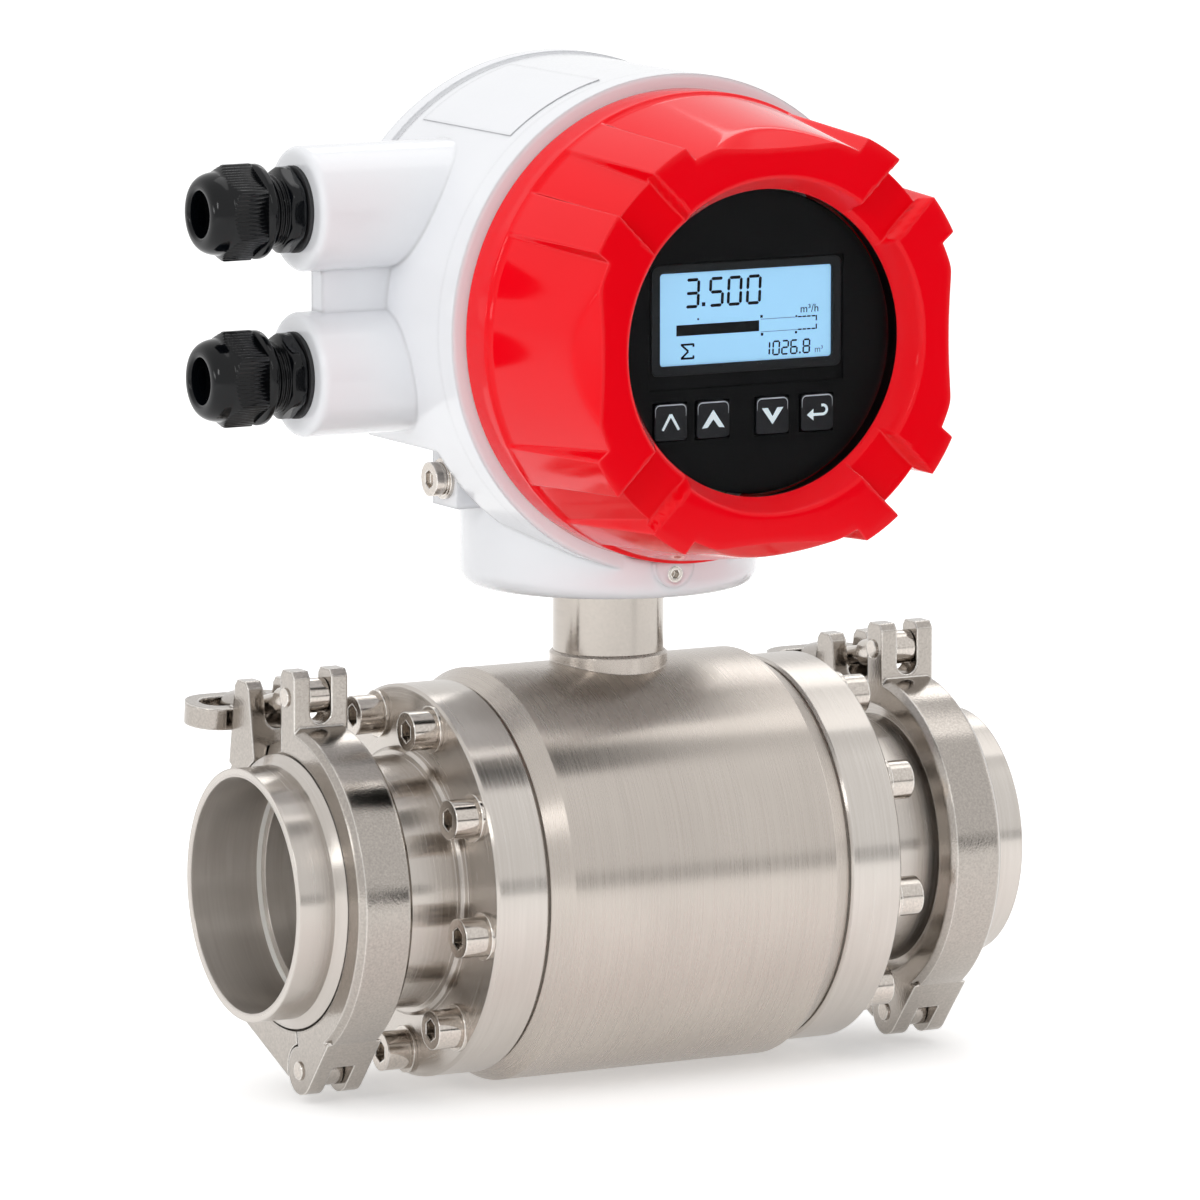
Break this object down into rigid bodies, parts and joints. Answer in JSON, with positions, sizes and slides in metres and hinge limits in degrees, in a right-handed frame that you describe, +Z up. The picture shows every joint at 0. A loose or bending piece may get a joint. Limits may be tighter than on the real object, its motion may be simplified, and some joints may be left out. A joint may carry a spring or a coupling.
{
  "type": "sanitary electromagnetic flow meter",
  "caption": "In-line sanitary flow meter: clamped stainless measuring section carrying a white head with a red screwed cover, display with keys and cable glands.",
  "frame": {"origin": "on the pipe axis, in the middle of the measuring tube, below the neck", "axes": "+X along the pipe towards the outlet, the display looks towards -Y, +Z up along the neck"},
  "size_m": [0.2586, 0.1665, 0.3068],
  "materials": {
    "barrel_steel": "fine circumferential brushing",
    "turned_steel": "fine turned and polished",
    "cast_steel": "satin casting with bright edges",
    "screw_steel": "polished",
    "soft_iron": "plain",
    "copper_coil": "enamelled winding",
    "liner_white": "smooth",
    "bush_plastic": "smooth",
    "seal_rubber": "matte",
    "gasket_white": "matte",
    "white_paint": "glossy white powder coat",
    "red_paint": "glossy red",
    "nylon_black": "satin moulded",
    "window_clear": "clear",
    "display_black": "satin",
    "lcd_blue": "lit, with printed figures",
    "key_black": "satin with white symbols",
    "board_green": "solder resist",
    "terminal_green": "moulded",
    "cable_grey": "sheathed"
  },
  "bodies": {
    "meter": {"sensor_housing": "barrel_steel", "measuring_tube": "turned_steel", "liner": "liner_white", "electrodes": "screw_steel", "electrode_bushes": "bush_plastic", "electrode_nuts": "screw_steel", "pole_cores": "soft_iron", "field_coils": "copper_coil", "magnet_yoke": "soft_iron", "neck_tube": "turned_steel", "signal_cable": "cable_grey", "flange_seals": "gasket_white", "clamp_gaskets": "gasket_white", "head_housing": "white_paint", "lock_screw": "screw_steel", "earth_screw": "screw_steel", "earth_washers": "screw_steel", "rear_cover": "white_paint", "rear_gasket": "gasket_white", "rear_screws": "screw_steel", "display_frame": "display_black", "lcd_panel": "lcd_blue", "display_board": "board_green", "main_board": "board_green", "board_posts": "screw_steel", "terminal_block": "terminal_green", "terminal_screws": "screw_steel", "gland_seals": "seal_rubber", "gland_inserts": "seal_rubber", "inlet_adapter": "turned_steel", "inlet_flange_screws": "screw_steel", "inlet_flange_washers": "screw_steel", "inlet_ferrule": "turned_steel", "inlet_clamp_front": "cast_steel", "inlet_clamp_pins": "screw_steel", "outlet_adapter": "turned_steel", "outlet_flange_screws": "screw_steel", "outlet_flange_washers": "screw_steel", "outlet_ferrule": "turned_steel", "outlet_clamp_front": "cast_steel", "outlet_clamp_pins": "screw_steel", "lower_gland_body": "nylon_black", "upper_gland_body": "nylon_black"},
    "cover": {"front_cover": "red_paint", "front_o_ring": "seal_rubber", "window_glass": "window_clear", "glass_ring": "display_black"},
    "key_1_body": {"key_1": "key_black"},
    "key_2_body": {"key_2": "key_black"},
    "key_3_body": {"key_3": "key_black"},
    "key_4_body": {"key_4": "key_black"},
    "lower_cap_nut": {"lower_gland_cap": "nylon_black"},
    "upper_cap_nut": {"upper_gland_cap": "nylon_black"},
    "inlet_clamp_half": {"inlet_clamp_rear": "cast_steel"},
    "inlet_bolt": {"inlet_swing_bolt": "screw_steel"},
    "inlet_nut": {"inlet_wing_nut": "cast_steel"},
    "outlet_clamp_half": {"outlet_clamp_rear": "cast_steel"},
    "outlet_bolt": {"outlet_swing_bolt": "screw_steel"},
    "outlet_nut": {"outlet_wing_nut": "cast_steel"}
  },
  "joints": [
    {"name": "front_cover_turn", "type": "hinge", "parent": "meter", "child": "cover", "pos_m": [0, -0.07, 0.1689], "axis": [0, -1, 0], "continuous": true},
    {"name": "key_1_press", "type": "slide", "parent": "meter", "child": "key_1_body", "axis": [0, 1, 0], "range_m": [0, 0.0006], "stiffness_N_per_m": 400, "springref_m": -0.0005},
    {"name": "key_2_press", "type": "slide", "parent": "meter", "child": "key_2_body", "axis": [0, 1, 0], "range_m": [0, 0.0006], "stiffness_N_per_m": 400, "springref_m": -0.0005},
    {"name": "key_3_press", "type": "slide", "parent": "meter", "child": "key_3_body", "axis": [0, 1, 0], "range_m": [0, 0.0006], "stiffness_N_per_m": 400, "springref_m": -0.0005},
    {"name": "key_4_press", "type": "slide", "parent": "meter", "child": "key_4_body", "axis": [0, 1, 0], "range_m": [0, 0.0006], "stiffness_N_per_m": 400, "springref_m": -0.0005},
    {"name": "lower_cap_nut_turn", "type": "hinge", "parent": "meter", "child": "lower_cap_nut", "pos_m": [-0.125, 0.005, 0.1545], "axis": [-1, 0, 0], "continuous": true},
    {"name": "upper_cap_nut_turn", "type": "hinge", "parent": "meter", "child": "upper_cap_nut", "pos_m": [-0.125, 0.005, 0.2041], "axis": [-1, 0, 0], "continuous": true},
    {"name": "inlet_clamp_open", "type": "hinge", "parent": "meter", "child": "inlet_clamp_half", "pos_m": [-0.1008, -0.009, -0.053], "axis": [-1, 0, 0], "range_deg": [0, 8]},
    {"name": "inlet_bolt_swing", "type": "hinge", "parent": "meter", "child": "inlet_bolt", "pos_m": [-0.1008, -0.0008, 0.0588], "axis": [1, 0, 0], "range_deg": [0, 64.5]},
    {"name": "inlet_nut_back", "type": "slide", "parent": "inlet_bolt", "child": "inlet_nut", "axis": [0, 0.9744, -0.225], "range_m": [0, 0.0114]},
    {"name": "outlet_clamp_open", "type": "hinge", "parent": "meter", "child": "outlet_clamp_half", "pos_m": [0.1008, -0.009, -0.053], "axis": [-1, 0, 0], "range_deg": [0, 8]},
    {"name": "outlet_bolt_swing", "type": "hinge", "parent": "meter", "child": "outlet_bolt", "pos_m": [0.1008, -0.0008, 0.0588], "axis": [1, 0, 0], "range_deg": [0, 64.5]},
    {"name": "outlet_nut_back", "type": "slide", "parent": "outlet_bolt", "child": "outlet_nut", "axis": [0, 0.9744, -0.225], "range_m": [0, 0.0114]}
  ],
  "couplings": [
    {"joint": "inlet_bolt_swing", "follows": "inlet_clamp_open", "ratio": 8},
    {"joint": "inlet_nut_back", "follows": "inlet_clamp_open", "m_per_rad": 0.08},
    {"joint": "outlet_bolt_swing", "follows": "outlet_clamp_open", "ratio": 8},
    {"joint": "outlet_nut_back", "follows": "outlet_clamp_open", "m_per_rad": 0.08}
  ]
}
